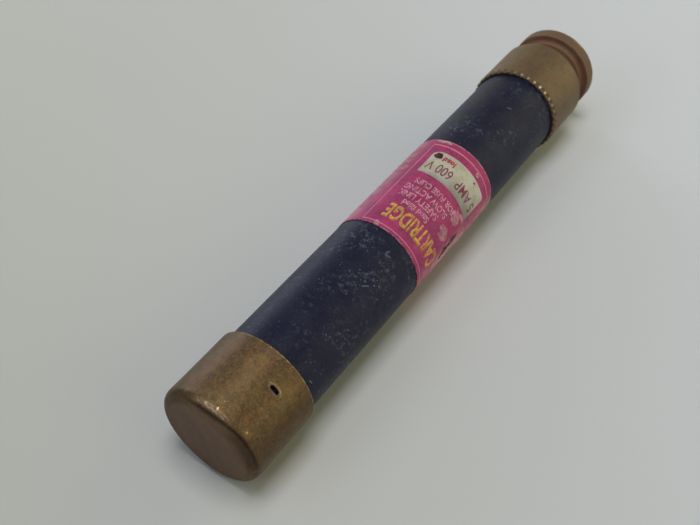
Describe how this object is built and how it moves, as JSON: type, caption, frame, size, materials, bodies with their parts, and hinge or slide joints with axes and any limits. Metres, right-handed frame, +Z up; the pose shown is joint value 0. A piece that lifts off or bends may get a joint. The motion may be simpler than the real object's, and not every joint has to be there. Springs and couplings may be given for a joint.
{
  "type": "cartridge fuse",
  "caption": "Time-delay cartridge fuse: dark fibre tube, printed wrap label, brass ferrules, one with a rejection groove and serrated lip, spring trigger inside.",
  "frame": {"origin": "middle of the fuse's axis", "axes": "+X along the axis towards the rejection ferrule, +Z up as the fuse lies on its side"},
  "size_m": [0.127, 0.0206, 0.0206],
  "materials": {
    "aged_brass": "tarnished brown patina, worn bright along its edges",
    "bright_brass": "plain rolled",
    "dark_fibre": "satin, scuffed",
    "printed_paper": "satin print, scuffed",
    "vulcan_fibre": "matt",
    "copper": "plain rolled",
    "silica_sand": "granular",
    "solder": "dull",
    "spring_steel": "drawn wire",
    "resistance_wire": "drawn wire"
  },
  "bodies": {
    "fuse_body": {"fuse_tube": "dark_fibre", "paper_label": "printed_paper", "plain_ferrule": "aged_brass", "reject_ferrule": "aged_brass", "plain_end_washer": "vulcan_fibre", "reject_end_washer": "vulcan_fibre", "plain_end_terminal": "bright_brass", "reject_end_terminal": "bright_brass", "plain_end_solder": "solder", "reject_end_solder": "solder", "plain_side_link": "copper", "reject_side_link": "copper", "plain_side_filler": "silica_sand", "reject_side_filler": "silica_sand", "plain_side_partition": "vulcan_fibre", "reject_side_partition": "vulcan_fibre", "chamber_liner": "vulcan_fibre", "heat_absorber": "copper", "heater_coil": "resistance_wire", "fusing_alloy": "solder", "trigger_spring": "spring_steel", "spring_anchor": "bright_brass"},
    "trigger": {"trigger_pin": "copper"}
  },
  "joints": [
    {"name": "trigger_release", "type": "slide", "parent": "fuse_body", "child": "trigger", "axis": [-1, 0, 0], "range_m": [0, 0.008], "deforming": ["trigger_spring"]}
  ]
}
